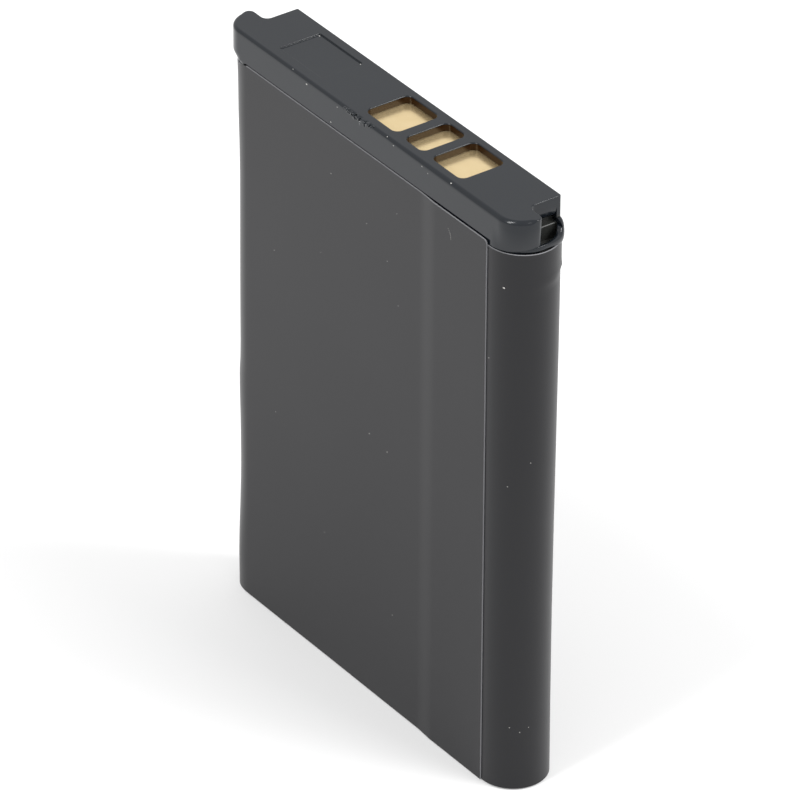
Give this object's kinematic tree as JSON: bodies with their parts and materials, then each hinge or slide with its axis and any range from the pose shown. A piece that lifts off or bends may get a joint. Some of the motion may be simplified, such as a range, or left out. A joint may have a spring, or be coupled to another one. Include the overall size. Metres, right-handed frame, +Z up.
{
  "type": "mobile phone battery",
  "caption": "Flat rechargeable battery pack for a mobile phone, with gold contacts in windows of its moulded top frame.",
  "frame": {"origin": "middle of the pack's base, where it stands", "axes": "+X towards the end at the right of the picture, -Y out of the front face that shows the sheet's seam, +Z up towards the contact windows"},
  "size_m": [0.0342, 0.0052, 0.046],
  "materials": {
    "frame_plastic": "satin moulded black",
    "sheet_plastic": "matte black printed film",
    "black_plastic": "moulded black",
    "can_aluminium": "drawn, satin",
    "contact_gold": "gold plated, satin",
    "nickel": "rolled nickel",
    "board_laminate": "glass-fibre laminate with green mask",
    "chip_plastic": "moulded epoxy",
    "ceramic": "fired ceramic",
    "fuse_plastic": "moulded",
    "natural_plastic": "uncoloured polypropylene",
    "insulating_paper": "varnished paper",
    "adhesive_tape": "double-sided tape"
  },
  "bodies": {
    "root": {"bottom_cover": "black_plastic", "bottom_tape": "adhesive_tape", "battery_cell": "can_aluminium", "terminal_gasket": "natural_plastic", "negative_terminal": "nickel", "fill_plug": "can_aluminium", "lid_insulator": "insulating_paper", "end_tapes": "adhesive_tape", "negative_tab": "nickel", "thermal_fuse": "fuse_plastic", "fuse_tab": "nickel", "positive_tab": "nickel", "board_support": "black_plastic", "circuit_board": "board_laminate", "weld_pads": "nickel", "protection_chip": "chip_plastic", "switch_chip": "chip_plastic", "identity_resistor": "chip_plastic", "filter_capacitors": "ceramic", "chip_resistors": "chip_plastic", "contact_positive": "contact_gold", "contact_identity": "contact_gold", "contact_negative": "contact_gold", "top_frame": "frame_plastic", "wrapped_sheet": "sheet_plastic"}
  },
  "joints": []
}
